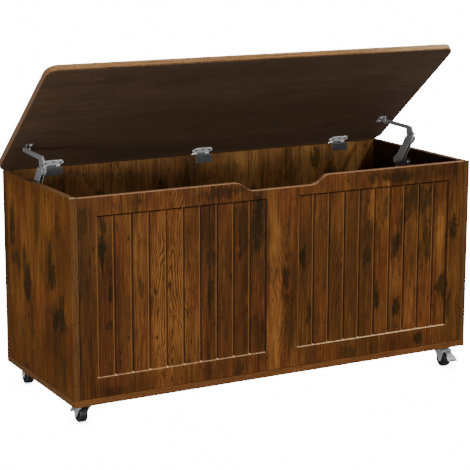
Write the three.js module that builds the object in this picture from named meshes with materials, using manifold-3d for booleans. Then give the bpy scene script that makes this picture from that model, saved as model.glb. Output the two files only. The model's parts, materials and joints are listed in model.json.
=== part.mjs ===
// Wooden toy box: a boarded chest on four swivel casters, with a lid on three hinges and a folding
// stay at each end. Millimetres, +Z up, +X to the right, +Y to the back, z = 0 on the ground. Pieces
// are placed from the chest's front face, and the whole is centred on Y at the end.
import * as THREE from 'three';
import { mergeVertices } from 'three/addons/utils/BufferGeometryUtils.js';
import Module from 'manifold-3d';

const wasm = await Module();
wasm.setup();

// Chest
const chestWidth = 980;
const chestDepth = 384;
const boardThickness = 15;
const seam = 0.3; // gap between pieces that touch
const baseBottom = 50;
const baseTop = baseBottom + boardThickness;
const lidUnderside = 486; // height of the closed lid's underside
const wallBottom = baseTop + seam;
const wallTop = lidUnderside - seam;
const backTop = 484.4;
const innerHalfWidth = chestWidth / 2 - boardThickness;
const edgeEase = 0.8; // small chamfer on every board edge
const rearEase = 1.5; // on the side panels' rear top corner, which the lid turns past
const middleY = 192.66; // middle of the whole, from the front pedal's toe to the open lid's back edge

// Front board
const fieldWidth = 395;
const fieldInset = 39.5; // from the middle of the board to the field's inner edge
const fieldBottom = 107;
const fieldTop = 446;
const fieldDepth = 3;
const slatCount = 10;
const grooveWidth = 5;
const grooveDepth = 2;
const notchMouth = 116; // half width at the top edge
const notchFloor = 71; // half width of its level bottom
const notchDepth = 20;

// Lid and its hinges
const lidOpening = THREE.MathUtils.degToRad(39); // how far the lid stands open at rest
const lidAxis = new THREE.Vector2(chestDepth, lidUnderside); // y and z of the hinge line
const lidWidth = 1000;
const lidDepth = 400;
const lidBackEdge = 6.8; // behind the hinge line
const lidCornerRadius = 25;
const lidEase = 1.5;
const hingePlaces = { left: -375, middle: 0, right: 375 };
const leafSeat = 483; // floor of the notches in the back board's top, which take the hinges
const leafThickness = 1.2;
const knuckleRadius = 2.9;
const knuckleBore = 1.5;
const hingePinRadius = 1.3;
const leafHoleRadius = 2;
const bodyLeafHalfWidth = 20;
const middleKnuckleHalf = 11;
const knucklePlay = 0.4;
const mortiseDepth = 3.4; // in the lid's underside, over each hinge's knuckles

// Lid stays, in the (y, z) plane with the lid at rest
const foot = new THREE.Vector2(260, 452); // where the channel swings on its bracket
const elbow = new THREE.Vector2(199, 509.5); // where the arm meets the channel
const bend = new THREE.Vector2(208, 536.6); // corner of the bent arm
// The arm's broad lower end, from its outer corner down to the elbow and up to the bar's underside.
const kneeOutline = [[200.5, 540.9], [194.5, 532], [190, 518], [192, 506], [206, 506], [215, 514], [218.5, 532]];
const lidPivot = new THREE.Vector2(-94.5, -7); // arm's pivot, from the hinge line of the closed lid
const channelAngle = THREE.MathUtils.degToRad(123.45); // from +Y to the channel's long direction
const channelWidth = 22.5;
const channelStart = 13; // along the channel, from the foot pivot
const channelEnd = 78;
const webStart = 15;
const webEnd = 54; // the web stops here, so that the arm can fold out through it
const sheet = 1.2; // channel's sheet thickness
const slotTravel = [-5, 6]; // elbow pin's slide along the slot, from its place at rest
const channelX = [463.8, 472.8];
const armX = [465.3, 469.3];
const sideBracketX = [473.2, 474.7];
const lidBracketX = [446, 464.2];
const lidEarThickness = 1.6;
const stayPinRadius = 2;
const pinFit = 0.2; // radial play of the pins
const stayScrewHole = 2.2;

// Casters: kingpin places, and the profile in the plane of the wheel
const kingpinX = 452;
const kingpinY = [41, 343];
const plateSize = 42;
const plateThickness = 2;
const plateTop = baseBottom - seam;
const plateBottom = plateTop - plateThickness;
const plateHoleSpacing = 32;
const crownBottom = 41.6;
const crownTop = 43.4;
const forkHalfWidth = 11.9;
const forkSheet = 1.8;
const wheelCentre = new THREE.Vector2(15, 18); // trail and height of the axle
const wheelBore = 3.2;
const axleRadius = 3;
const pedalPivot = new THREE.Vector2(25, 38.5);
const pedalPinRadius = 1.5;
const pedalPressed = THREE.MathUtils.degToRad(14);

const wood = { color: 0x6b5242, roughness: 0.75, metalness: 0 };
const zinc = { color: 0xbcbfc3, roughness: 0.35, metalness: 0.9 };
const darkSteel = { color: 0x4b4c4f, roughness: 0.5, metalness: 0.8 };
const blackRubber = { color: 0x17181a, roughness: 0.6, metalness: 0 };

function addPiece(parent, name, geometry, finish) {
  const mesh = new THREE.Mesh(geometry, new THREE.MeshStandardMaterial(finish));
  mesh.name = name;
  parent.add(mesh);
  return mesh;
}

// Solids and outlines.

function solidFrom(geometry) {
  const bare = geometry.clone();
  bare.deleteAttribute('normal');
  bare.deleteAttribute('uv');
  const merged = mergeVertices(bare);
  return new wasm.Manifold(new wasm.Mesh({
    numProp: 3,
    vertProperties: new Float32Array(merged.attributes.position.array),
    triVerts: new Uint32Array(merged.index.array),
  }));
}

function geometryFrom(solid) {
  const mesh = solid.getMesh();
  const geometry = new THREE.BufferGeometry();
  geometry.setAttribute('position', new THREE.BufferAttribute(mesh.vertProperties, 3));
  geometry.setIndex(new THREE.BufferAttribute(mesh.triVerts, 1));
  return geometry;
}

function combine(operation, first, others) {
  return geometryFrom(others.reduce((solid, next) => solid[operation](solidFrom(next)), solidFrom(first)));
}

function join(first, ...others) {
  return combine('add', first, others);
}

function cut(first, ...others) {
  return combine('subtract', first, others);
}

function common(first, ...others) {
  return combine('intersect', first, others);
}

// A flat piece of the given outline, between two heights, with its edges chamfered by ease.
function slab(shape, from, to, ease = 0, curveSegments = 5) {
  const geometry = new THREE.ExtrudeGeometry(shape, {
    depth: to - from - 2 * ease,
    bevelEnabled: ease > 0,
    bevelThickness: ease,
    bevelSize: ease,
    bevelOffset: -ease,
    bevelSegments: 1,
    curveSegments,
  });
  return geometry.translate(0, 0, from + ease);
}

// The outline is in (y, z) and the piece runs along X.
function alongX(shape, [from, to], ease, curveSegments) {
  const turn = new THREE.Matrix4().makeBasis(
    new THREE.Vector3(0, 1, 0),
    new THREE.Vector3(0, 0, 1),
    new THREE.Vector3(1, 0, 0),
  );
  return slab(shape, from, to, ease, curveSegments).applyMatrix4(turn);
}

// The outline is in (x, z) and the piece runs along Y.
function alongY(shape, [from, to], ease, curveSegments) {
  const turn = new THREE.Matrix4().makeBasis(
    new THREE.Vector3(1, 0, 0),
    new THREE.Vector3(0, 0, 1),
    new THREE.Vector3(0, -1, 0),
  );
  return slab(shape, -to, -from, ease, curveSegments).applyMatrix4(turn);
}

function mirrored([from, to], side) {
  return side > 0 ? [from, to] : [-to, -from];
}

function rectangle(left, right, bottom, top) {
  return new THREE.Shape()
    .moveTo(left, bottom)
    .lineTo(right, bottom)
    .lineTo(right, top)
    .lineTo(left, top);
}

function roundedRectangle(left, right, bottom, top, radius) {
  const quarter = Math.PI / 2;
  const shape = new THREE.Shape();
  shape.absarc(right - radius, bottom + radius, radius, -quarter, 0);
  shape.absarc(right - radius, top - radius, radius, 0, quarter);
  shape.absarc(left + radius, top - radius, radius, quarter, 2 * quarter);
  shape.absarc(left + radius, bottom + radius, radius, 2 * quarter, 3 * quarter);
  return shape;
}

function disc(centre, radius) {
  return new THREE.Shape().absarc(centre.x, centre.y, radius, 0, 2 * Math.PI);
}

function polygon(points) {
  return new THREE.Shape(points.map(([x, y]) => new THREE.Vector2(x, y)));
}

// Outline of a flat link: two round ends and the straight tangents between them.
function link(from, fromRadius, to, toRadius) {
  const along = Math.atan2(to.y - from.y, to.x - from.x);
  const spread = Math.acos((fromRadius - toRadius) / from.distanceTo(to));
  const shape = new THREE.Shape();
  shape.absarc(from.x, from.y, fromRadius, along + spread, along - spread + 2 * Math.PI);
  shape.absarc(to.x, to.y, toRadius, along - spread, along + spread);
  return shape;
}

// A turned piece about the X axis. Each point is [x, radius], and x grows along the outside.
function turnedAboutX(points, segments) {
  const profile = points.map(([x, radius]) => new THREE.Vector2(radius, x));
  return new THREE.LatheGeometry(profile, segments).rotateZ(-Math.PI / 2);
}

// A turned piece about the Z axis. Each point is [radius, z], and z grows along the outside.
function turnedAboutZ(points, segments) {
  const profile = points.map(([radius, z]) => new THREE.Vector2(radius, z));
  return new THREE.LatheGeometry(profile, segments).rotateX(Math.PI / 2);
}

// A rivet along X with a low head at each end.
function rivet([from, to], radius, headRadius, headHeight, segments = 12) {
  return turnedAboutX([
    [from, 0],
    [from, headRadius * 0.7],
    [from + headHeight * 0.6, headRadius],
    [from + headHeight, headRadius],
    [from + headHeight, radius],
    [to - headHeight, radius],
    [to - headHeight, headRadius],
    [to - headHeight * 0.6, headRadius],
    [to, headRadius * 0.7],
    [to, 0],
  ], segments);
}

// The place of a point in a frame that stands at origin, turned by angle.
function seenFrom(origin, angle, point) {
  return point.clone().sub(origin).rotateAround(new THREE.Vector2(), -angle);
}

// Chest boards, from the front face.

function basePanel() {
  return slab(rectangle(-chestWidth / 2, chestWidth / 2, 0, chestDepth), baseBottom, baseTop, edgeEase);
}

function sidePanel(side) {
  const outline = polygon([
    [0, wallBottom],
    [chestDepth, wallBottom],
    [chestDepth, wallTop - rearEase],
    [chestDepth - rearEase, wallTop],
    [0, wallTop],
  ]);
  return alongX(outline, mirrored([innerHalfWidth, chestWidth / 2], side), edgeEase);
}

function backPanel() {
  const half = innerHalfWidth - seam;
  const board = rectangle(-half, half, wallBottom, backTop);
  const notches = Object.values(hingePlaces).map((x) => {
    const reach = bodyLeafHalfWidth + seam;
    return alongY(rectangle(x - reach, x + reach, leafSeat, backTop + 1), [chestDepth - 20, chestDepth + 5]);
  });
  return cut(alongY(board, [chestDepth - boardThickness, chestDepth], edgeEase), ...notches);
}

function frontOutline() {
  const half = innerHalfWidth - seam;
  const bottom = wallTop - notchDepth;
  const reach = (notchMouth - notchFloor) * 0.4;
  const shape = new THREE.Shape();
  shape.moveTo(-half, wallBottom);
  shape.lineTo(half, wallBottom);
  shape.lineTo(half, wallTop);
  shape.lineTo(notchMouth, wallTop);
  shape.bezierCurveTo(notchMouth - reach, wallTop, notchFloor + reach, bottom, notchFloor, bottom);
  shape.lineTo(-notchFloor, bottom);
  shape.bezierCurveTo(-notchFloor - reach, bottom, -notchMouth + reach, wallTop, -notchMouth, wallTop);
  shape.lineTo(-half, wallTop);
  return shape;
}

// A recessed field: a shallow cut with a sloping border, and a V groove between each two slats.
function fieldCutters(left) {
  const open = 4; // how far the cutters stand out of the board
  const right = left + fieldWidth;
  const border = rectangle(left, right, fieldBottom, fieldTop);
  const cutters = [alongY(border, [-fieldDepth - open, fieldDepth], fieldDepth)];
  const slope = grooveWidth / 2 / grooveDepth;
  for (let i = 1; i < slatCount; i += 1) {
    const x = left + (fieldWidth / slatCount) * i;
    const groove = polygon([
      [x - slope * (grooveDepth + 1), fieldDepth - 1],
      [x + slope * (grooveDepth + 1), fieldDepth - 1],
      [x, fieldDepth + grooveDepth],
    ]);
    cutters.push(slab(groove, fieldBottom + fieldDepth, fieldTop - fieldDepth));
  }
  return cutters;
}

function frontPanel() {
  const board = alongY(frontOutline(), [0, boardThickness], edgeEase, 10);
  return cut(board, ...fieldCutters(-fieldInset - fieldWidth), ...fieldCutters(fieldInset));
}

// Lid and hinges, from the hinge line of the closed lid.

function lidPanel() {
  const outline = roundedRectangle(
    -lidWidth / 2, lidWidth / 2, lidBackEdge - lidDepth, lidBackEdge, lidCornerRadius,
  );
  const mortises = Object.values(hingePlaces).map((x) => {
    const half = bodyLeafHalfWidth + 1;
    const place = rectangle(x - half, x + half, -knuckleRadius - 0.7, lidBackEdge + 1);
    return slab(place, -1, mortiseDepth);
  });
  return cut(slab(outline, 0, boardThickness, lidEase), ...mortises);
}

function knuckle(range) {
  return alongX(disc(new THREE.Vector2(), knuckleRadius), range);
}

function knuckleHole() {
  return alongX(disc(new THREE.Vector2(), knuckleBore), [-50, 50]);
}

// Let into the back board's top and folded down its inner face, with the middle knuckle.
function bodyLeaf() {
  const top = leafSeat - lidUnderside + 0.1 + leafThickness;
  const face = -boardThickness - 0.1; // the flange's back, on the board's inner face
  const drop = -20;
  const reach = -knuckleRadius - 0.5;
  const folded = polygon([
    [face - leafThickness, drop],
    [face, drop],
    [face, top - leafThickness],
    [reach, top - leafThickness],
    [reach, top],
    [face - leafThickness, top],
  ]);
  const half = bodyLeafHalfWidth;
  const tongue = rectangle(reach - 0.5, 0, top - leafThickness, top);
  const middle = [-middleKnuckleHalf, middleKnuckleHalf];
  const holes = [-12, 12].map((x) => alongY(disc(new THREE.Vector2(x, -12), leafHoleRadius), [-30, -5]));
  return cut(
    join(alongX(folded, [-half, half]), alongX(tongue, middle), knuckle(middle)),
    knuckleHole(),
    ...holes,
  );
}

// A pointed plate under the lid, with the two outer knuckles.
function lidLeaf() {
  const top = -0.1;
  const reach = -knuckleRadius - 0.5;
  const plate = polygon([
    [-bodyLeafHalfWidth, reach],
    [-27, -13],
    [-19, -24],
    [19, -24],
    [27, -13],
    [bodyLeafHalfWidth, reach],
  ]);
  const tongue = rectangle(reach - 0.5, 0, top - leafThickness, top);
  const outer = [middleKnuckleHalf + knucklePlay, bodyLeafHalfWidth];
  const tongues = [-1, 1].flatMap((side) => [
    alongX(tongue, mirrored(outer, side)),
    knuckle(mirrored(outer, side)),
  ]);
  const holes = [[-17, -14], [0, -18], [17, -14]].map(([x, y]) => (
    slab(disc(new THREE.Vector2(x, y), leafHoleRadius), -5, 5)
  ));
  return cut(join(slab(plate, top - leafThickness, top), ...tongues), knuckleHole(), ...holes);
}

function hingePin() {
  const half = bodyLeafHalfWidth + 0.5;
  return turnedAboutX([[-half, 0], [-half, hingePinRadius], [half, hingePinRadius], [half, 0]], 12);
}

// Lid stays.

function sideBracket(side) {
  const plate = roundedRectangle(210, 272, 424, 461, 6);
  const place = mirrored(sideBracketX, side);
  const holes = [[219, 433], [219, 452], [263, 433]].map(([y, z]) => (
    alongX(disc(new THREE.Vector2(y, z), stayScrewHole), mirrored([470, 478], side))
  ));
  const pinHole = alongX(disc(foot, stayPinRadius + pinFit), mirrored([470, 478], side));
  return cut(alongX(plate, place, 0, 3), pinHole, ...holes);
}

// Seen from the foot pivot, with Y along the channel and Z towards its open side. It is a folded
// sheet: two flanges, each with an ear for the elbow and a lug for the foot, joined by a web.
function channel(side) {
  const pin = seenFrom(foot, channelAngle, elbow);
  const slide = pin.clone().normalize();
  const slotEnds = slotTravel.map((travel) => pin.clone().addScaledVector(slide, travel));
  const origin = new THREE.Vector2();
  const width = mirrored(channelX, side);
  const body = alongX(roundedRectangle(channelStart, channelEnd, 0, channelWidth, 3), width, 0, 3);
  const ear = alongX(link(pin, 8, slotEnds[1], 5.6), width);
  const neck = new THREE.Vector2(channelEnd - 12, channelWidth / 2);
  const shoulder = alongX(link(neck, 9, pin, 8), width, 0, 3);
  const lug = alongX(link(origin, 7, new THREE.Vector2(channelStart + 11, 11), 10), width, 0, 4);
  const inside = mirrored([channelX[0] + sheet, channelX[1] - sheet], side);
  const hollow = alongX(polygon([
    [-20, 60],
    [-20, -20],
    [webStart, -20],
    [webStart, sheet],
    [webEnd, sheet],
    [webEnd, -20],
    [120, -20],
    [120, 60],
  ]), inside);
  const across = mirrored([channelX[0] - 5, channelX[1] + 5], side);
  const slotRadius = stayPinRadius + 2 * pinFit;
  const slot = alongX(link(slotEnds[0], slotRadius, slotEnds[1], slotRadius), across);
  const footHole = alongX(disc(origin, stayPinRadius + pinFit), across);
  return cut(join(body, ear, shoulder, lug), hollow, slot, footHole);
}

function lidPivotAtRest() {
  return lidPivot.clone().rotateAround(new THREE.Vector2(), -lidOpening).add(lidAxis);
}

function armAngle() {
  const pivot = lidPivotAtRest();
  return Math.atan2(bend.y - pivot.y, bend.x - pivot.x);
}

// Seen from the lid pivot, with Y along the bar to its bend.
function arm(side) {
  const pivot = lidPivotAtRest();
  const corner = seenFrom(pivot, armAngle(), bend);
  const pin = seenFrom(pivot, armAngle(), elbow);
  const origin = new THREE.Vector2();
  const width = mirrored(armX, side);
  const bar = alongX(link(origin, 4.4, corner, 4.6), width);
  const knee = alongX(polygon(kneeOutline.map(([y, z]) => (
    seenFrom(pivot, armAngle(), new THREE.Vector2(y, z)).toArray()
  ))), width);
  const eye = alongX(disc(pin, 8), width);
  const tip = new THREE.Vector2(corner.x + 23, 11.5);
  const spur = alongX(link(corner.clone().lerp(pin, 0.5), 5, tip, 1.6), width, 0, 4);
  const across = mirrored([armX[0] - 5, armX[1] + 5], side);
  const holes = [origin, pin].map((centre) => alongX(disc(centre, stayPinRadius + pinFit), across));
  return cut(join(bar, knee, eye, spur), ...holes);
}

// In the lid's frame: a plate under the lid, folded down into an ear that carries the arm.
function lidBracket(side) {
  const top = -seam;
  const ear = new THREE.Shape()
    .moveTo(lidPivot.x - 12, top)
    .lineTo(lidPivot.x - 5.5, lidPivot.y)
    .absarc(lidPivot.x, lidPivot.y, 5.5, Math.PI, 2 * Math.PI)
    .lineTo(lidPivot.x + 12, top);
  const earX = mirrored([lidBracketX[1] - lidEarThickness, lidBracketX[1]], side);
  const plateX = mirrored(lidBracketX, side);
  const plate = roundedRectangle(plateX[0], plateX[1], lidPivot.x - 12, lidPivot.x + 12, 1.5);
  const holes = [-7, 7].map((offset) => (
    slab(disc(new THREE.Vector2(side * 453, lidPivot.x + offset), stayScrewHole), -5, 5)
  ));
  const pinHole = alongX(disc(lidPivot, stayPinRadius + pinFit), mirrored([460, 466], side));
  return cut(
    join(slab(plate, top - lidEarThickness, top, 0, 3), alongX(ear, earX)),
    pinHole,
    ...holes,
  );
}

// Casters, with Y along the trail and z = 0 on the ground.

function casterPlate() {
  const half = plateSize / 2;
  const spread = plateHoleSpacing / 2;
  const corners = [[-1, -1], [1, -1], [1, 1], [-1, 1]];
  const holes = corners.map(([x, y]) => (
    slab(disc(new THREE.Vector2(x * spread, y * spread), 2.3), plateBottom - 5, plateTop + 5, 0, 5)
  ));
  return cut(slab(roundedRectangle(-half, half, -half, half, 5), plateBottom, plateTop, 0, 3), ...holes);
}

// Ball race, with the kingpin through the fork's crown and its head under it.
function casterRace() {
  const top = plateBottom - 0.2;
  return turnedAboutZ([
    [0, 38.4],
    [4.5, 38.4],
    [6.5, 39.5],
    [6.5, 41.2],
    [3.7, 41.2],
    [3.7, 43.8],
    [11, 43.8],
    [14, 45.5],
    [14, top],
    [0, top],
  ], 18);
}

// A folded sheet: the crown and two legs that narrow down to the axle.
function casterFork(braked) {
  const eye = 6.5;
  const profile = new THREE.Shape();
  profile.absarc(wheelCentre.x, wheelCentre.y, eye, Math.PI * 1.08, Math.PI * 2);
  if (braked) {
    profile.lineTo(pedalPivot.x + 2.2, pedalPivot.y - 4.2);
    profile.absarc(pedalPivot.x, pedalPivot.y, crownTop - pedalPivot.y, -1.1, Math.PI / 2);
  } else {
    profile.lineTo(20, crownTop - 3);
    profile.lineTo(17, crownTop);
  }
  profile.lineTo(-9, crownTop);
  profile.lineTo(-12, crownTop - 3);
  profile.lineTo(-12, crownTop - 6);
  profile.quadraticCurveTo(0, 33, wheelCentre.x - eye, wheelCentre.y - 1);
  const solid = alongX(profile, [-forkHalfWidth, forkHalfWidth]);
  const inner = forkHalfWidth - forkSheet;
  const outer = alongY(roundedRectangle(-forkHalfWidth, forkHalfWidth, -10, crownTop, 3.5), [-50, 50], 0, 2);
  const hollow = alongY(roundedRectangle(-inner, inner, -10, crownBottom, 1.5), [-50, 50], 0, 2);
  const kingpinHole = slab(disc(new THREE.Vector2(), 4), 30, 60);
  const axleHole = alongX(disc(wheelCentre, axleRadius + pinFit), [-20, 20]);
  const cutters = [hollow, kingpinHole, axleHole];
  if (braked) {
    cutters.push(alongX(disc(pedalPivot, pedalPinRadius + pinFit), [-20, 20]));
  }
  return cut(common(solid, outer), ...cutters);
}

function casterWheel() {
  const half = [[-9.4, wheelBore], [-9.4, 6.5], [-7, 7], [-6.2, 12.5], [-9, 13.5], [-9, 16.6], [-7, 18]];
  const otherHalf = half.map(([x, radius]) => [-x, radius]).reverse();
  return turnedAboutX([...half, ...otherHalf, half[0]], 26);
}

// The curved strip that the foot presses, wider at its toe, with its barrel and the lobe that brakes
// the wheel. It is drawn in the caster's place and moved to stand from its own pin.
function brakePedal() {
  const strip = new THREE.Shape()
    .moveTo(26, 36.2)
    .lineTo(33, 35.2)
    .quadraticCurveTo(40, 31, 49, 21.2)
    .lineTo(54, 19.6)
    .lineTo(54.4, 21.3)
    .lineTo(50, 22.8)
    .quadraticCurveTo(41, 33, 34, 37.4)
    .lineTo(26, 39.4);
  const blade = alongX(strip, [-13, 13], 0, 5);
  const outline = new THREE.Shape()
    .moveTo(-7, 10)
    .lineTo(7, 10)
    .lineTo(7, 34)
    .quadraticCurveTo(7.5, 41, 12, 45)
    .lineTo(12, 51.5)
    .quadraticCurveTo(12, 55, 8.5, 55)
    .lineTo(-8.5, 55)
    .quadraticCurveTo(-12, 55, -12, 51.5)
    .lineTo(-12, 45)
    .quadraticCurveTo(-7.5, 41, -7, 34);
  const plan = slab(outline, 0, 50, 0, 3);
  const barrel = alongX(disc(pedalPivot, 2.8), [-8.8, 8.8]);
  const lobe = alongX(link(pedalPivot, 2.6, new THREE.Vector2(25.9, 36.1), 2.3), [-6, 6], 0, 4);
  const pinHole = alongX(disc(pedalPivot, pedalPinRadius + pinFit), [-20, 20]);
  return cut(join(common(blade, plan), barrel, lobe), pinHole).translate(0, -pedalPivot.x, -pedalPivot.y);
}

// The whole box.

const toyBox = new THREE.Group();

addPiece(toyBox, 'base_panel', basePanel(), wood);
addPiece(toyBox, 'left_side_panel', sidePanel(-1), wood);
addPiece(toyBox, 'right_side_panel', sidePanel(1), wood);
addPiece(toyBox, 'front_panel', frontPanel(), wood);
addPiece(toyBox, 'back_panel', backPanel(), wood);

const lid = new THREE.Group();
lid.position.set(0, lidAxis.x, lidAxis.y);
lid.rotation.x = -lidOpening;
toyBox.add(lid);
addPiece(lid, 'lid_panel', lidPanel(), wood);

for (const [place, x] of Object.entries(hingePlaces)) {
  addPiece(toyBox, `hinge_${place}_body_leaf`, bodyLeaf(), darkSteel).position.set(x, lidAxis.x, lidAxis.y);
  addPiece(toyBox, `hinge_${place}_pin`, hingePin(), darkSteel).position.set(x, lidAxis.x, lidAxis.y);
  addPiece(lid, `hinge_${place}_lid_leaf`, lidLeaf(), zinc).position.x = x;
}

function addStay(name, side) {
  const folded = new THREE.Group();
  folded.position.set(0, foot.x, foot.y);
  folded.rotation.x = channelAngle;
  toyBox.add(folded);
  const pivot = lidPivotAtRest();
  const swung = new THREE.Group();
  swung.position.set(0, pivot.x, pivot.y);
  swung.rotation.x = armAngle();
  toyBox.add(swung);
  const head = 1;
  const footPin = mirrored([channelX[0] - 0.4 - head, sideBracketX[1]], side);
  const elbowPin = mirrored([channelX[0] - 0.3 - head, channelX[1] + 0.3 + head], side);
  const lidPin = mirrored([lidBracketX[1] - lidEarThickness - 0.2 - head, armX[1] + 0.3 + head], side);
  const elbowInArm = seenFrom(pivot, armAngle(), elbow);
  addPiece(toyBox, `stay_${name}_side_bracket`, sideBracket(side), zinc);
  addPiece(toyBox, `stay_${name}_foot_pin`, footRivet(footPin, side), zinc).position.set(0, foot.x, foot.y);
  addPiece(folded, `stay_${name}_channel`, channel(side), zinc);
  addPiece(swung, `stay_${name}_arm`, arm(side), zinc);
  addPiece(swung, `stay_${name}_elbow_pin`, rivet(elbowPin, stayPinRadius, 6.2, head, 16), zinc)
    .position.set(0, elbowInArm.x, elbowInArm.y);
  addPiece(lid, `stay_${name}_lid_bracket`, lidBracket(side), zinc);
  addPiece(lid, `stay_${name}_lid_pin`, rivet(lidPin, stayPinRadius, 3.8, head), zinc)
    .position.set(0, lidPivot.x, lidPivot.y);
}

// The foot's rivet has one head, inside, and ends flush with the back of its bracket.
function footRivet([from, to], side) {
  const head = 1;
  const points = [
    [0, 0],
    [0, 3],
    [head * 0.6, 4.2],
    [head, 4.2],
    [head, stayPinRadius],
    [to - from, stayPinRadius],
    [to - from, 0],
  ];
  const geometry = turnedAboutX(points, 12);
  return side > 0 ? geometry.translate(from, 0, 0) : geometry.rotateZ(Math.PI).translate(to, 0, 0);
}

addStay('left', -1);
addStay('right', 1);

function addCaster(name, x, y, heading, pressed) {
  const caster = new THREE.Group();
  caster.position.set(x, y, 0);
  caster.rotation.z = heading;
  toyBox.add(caster);
  const axleHalf = forkHalfWidth + 2;
  const braked = pressed !== null;
  addPiece(caster, `caster_${name}_plate`, casterPlate(), zinc);
  addPiece(caster, `caster_${name}_race`, casterRace(), zinc);
  addPiece(caster, `caster_${name}_fork`, casterFork(braked), zinc);
  addPiece(caster, `caster_${name}_wheel`, casterWheel(), blackRubber)
    .position.set(0, wheelCentre.x, wheelCentre.y);
  addPiece(caster, `caster_${name}_axle`, rivet([-axleHalf, axleHalf], axleRadius, 4.8, 1.8), zinc)
    .position.set(0, wheelCentre.x, wheelCentre.y);
  if (braked) {
    const pinHalf = forkHalfWidth + 1.2;
    const pedal = addPiece(caster, `caster_${name}_brake_pedal`, brakePedal(), zinc);
    pedal.position.set(0, pedalPivot.x, pedalPivot.y);
    pedal.rotation.x = -pressed;
    addPiece(caster, `caster_${name}_pedal_pin`, rivet([-pinHalf, pinHalf], pedalPinRadius, 2.6, 1), zinc)
      .position.set(0, pedalPivot.x, pedalPivot.y);
  }
}

// The left brake stands pressed and the right one free; the rear casters have none.
addCaster('front_left', -kingpinX, kingpinY[0], 0, pedalPressed);
addCaster('front_right', kingpinX, kingpinY[0], Math.PI, 0);
addCaster('rear_left', -kingpinX, kingpinY[1], 0, null);
addCaster('rear_right', kingpinX, kingpinY[1], 0, null);

toyBox.position.y = -middleY;

export default toyBox;
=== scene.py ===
# Looks of a wooden toy box on swivel casters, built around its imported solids. Metres, +Z up.
import json
import math

import bpy
import numpy as np
from mathutils import Matrix, Vector


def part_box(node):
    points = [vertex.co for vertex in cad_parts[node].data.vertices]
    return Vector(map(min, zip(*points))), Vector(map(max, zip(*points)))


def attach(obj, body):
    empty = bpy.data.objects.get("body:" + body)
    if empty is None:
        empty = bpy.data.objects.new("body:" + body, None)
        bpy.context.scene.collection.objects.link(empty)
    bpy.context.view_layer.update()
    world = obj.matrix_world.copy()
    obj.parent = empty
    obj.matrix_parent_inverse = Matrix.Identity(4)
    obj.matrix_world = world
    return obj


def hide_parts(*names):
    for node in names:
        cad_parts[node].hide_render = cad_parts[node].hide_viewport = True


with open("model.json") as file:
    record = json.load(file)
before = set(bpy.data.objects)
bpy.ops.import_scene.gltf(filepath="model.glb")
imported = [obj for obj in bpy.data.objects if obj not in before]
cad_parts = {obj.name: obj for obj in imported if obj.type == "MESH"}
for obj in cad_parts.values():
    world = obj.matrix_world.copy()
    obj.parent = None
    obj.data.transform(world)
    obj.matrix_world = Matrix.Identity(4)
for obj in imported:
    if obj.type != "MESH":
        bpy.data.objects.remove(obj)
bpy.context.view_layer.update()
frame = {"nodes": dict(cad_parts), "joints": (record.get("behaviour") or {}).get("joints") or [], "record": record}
nodes = frame["nodes"]
bodies = frame["record"]["behaviour"]["bodies"]
bodyOf = {node: body for body, members in bodies.items() for node in members}

rightward, backward, upward = (1, 0, 0), (0, 1, 0), (0, 0, 1)
leftward, forward, downward = (-1, 0, 0), (0, -1, 0), (0, 0, -1)
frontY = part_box("front_panel")[0].y
lidJoint = next(joint for joint in frame["joints"] if joint["name"] == "lid_hinge")
lidOpening = -math.radians(lidJoint["range_deg"][0])  # the lid's angle from closed, as it stands here
lidAxis = Vector(lidJoint["pos_m"])
lidForward = (0, -math.cos(lidOpening), math.sin(lidOpening))  # from the hinge line to the lid's front edge
lidUp = (0, math.sin(lidOpening), math.cos(lidOpening))
lidBottom = lidAxis.dot(Vector(lidUp))  # the underside's height along lidUp
print("frame loaded:", len(nodes), "nodes")


# Shader building blocks.

def emptyTree(owner):
    owner.use_nodes = True
    owner.node_tree.nodes.clear()
    return owner.node_tree


def put(tree, socket, value):
    if isinstance(value, bpy.types.NodeSocket):
        tree.links.new(value, socket)
    elif value is not None:
        socket.default_value = value


def addNode(tree, kind, settings=(), inputs=()):
    made = tree.nodes.new(kind)
    for key, value in dict(settings).items():
        setattr(made, key, value)
    for key, value in dict(inputs).items():
        put(tree, made.inputs[key], value)
    return made


def startMaterial(name):
    material = bpy.data.materials.new(name)
    tree = emptyTree(material)
    shader = addNode(tree, "ShaderNodeBsdfPrincipled")
    addNode(tree, "ShaderNodeOutputMaterial", inputs={0: shader.outputs[0]})
    return material, tree, shader


def coordinates(tree, kind="Object"):
    return addNode(tree, "ShaderNodeTexCoord").outputs[kind]


def calc(tree, operation, first, second=None, third=None):
    made = addNode(tree, "ShaderNodeMath", {"operation": operation})
    for index, value in enumerate((first, second, third)):
        put(tree, made.inputs[index], value)
    return made.outputs[0]


def times(tree, first, second):
    return calc(tree, "MULTIPLY", first, second)


def strongest(tree, masks):
    found = masks[0]
    for mask in masks[1:]:
        found = calc(tree, "MAXIMUM", found, mask)
    return found


def vectorCalc(tree, operation, *values):
    made = addNode(tree, "ShaderNodeVectorMath", {"operation": operation})
    for index, value in enumerate(values):
        put(tree, made.inputs[index], value)
    return made.outputs["Value" if operation in ("DOT_PRODUCT", "LENGTH") else "Vector"]


def noise(tree, vector, scale, detail, roughness, output="Fac"):
    made = addNode(tree, "ShaderNodeTexNoise", inputs={
        "Vector": vector, "Scale": scale, "Detail": detail, "Roughness": roughness,
    })
    return made.outputs[output]


def spread(tree, value, low, high, fromZero=0.0, toOne=1.0, soft=False):
    # From low..high to fromZero..toOne, held at both ends, on a straight line or a soft S.
    kind = "SMOOTHSTEP" if soft else "LINEAR"
    made = addNode(tree, "ShaderNodeMapRange", {"clamp": True, "interpolation_type": kind}, {
        "Value": value, "From Min": low, "From Max": high, "To Min": fromZero, "To Max": toOne,
    })
    return made.outputs["Result"]


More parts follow.
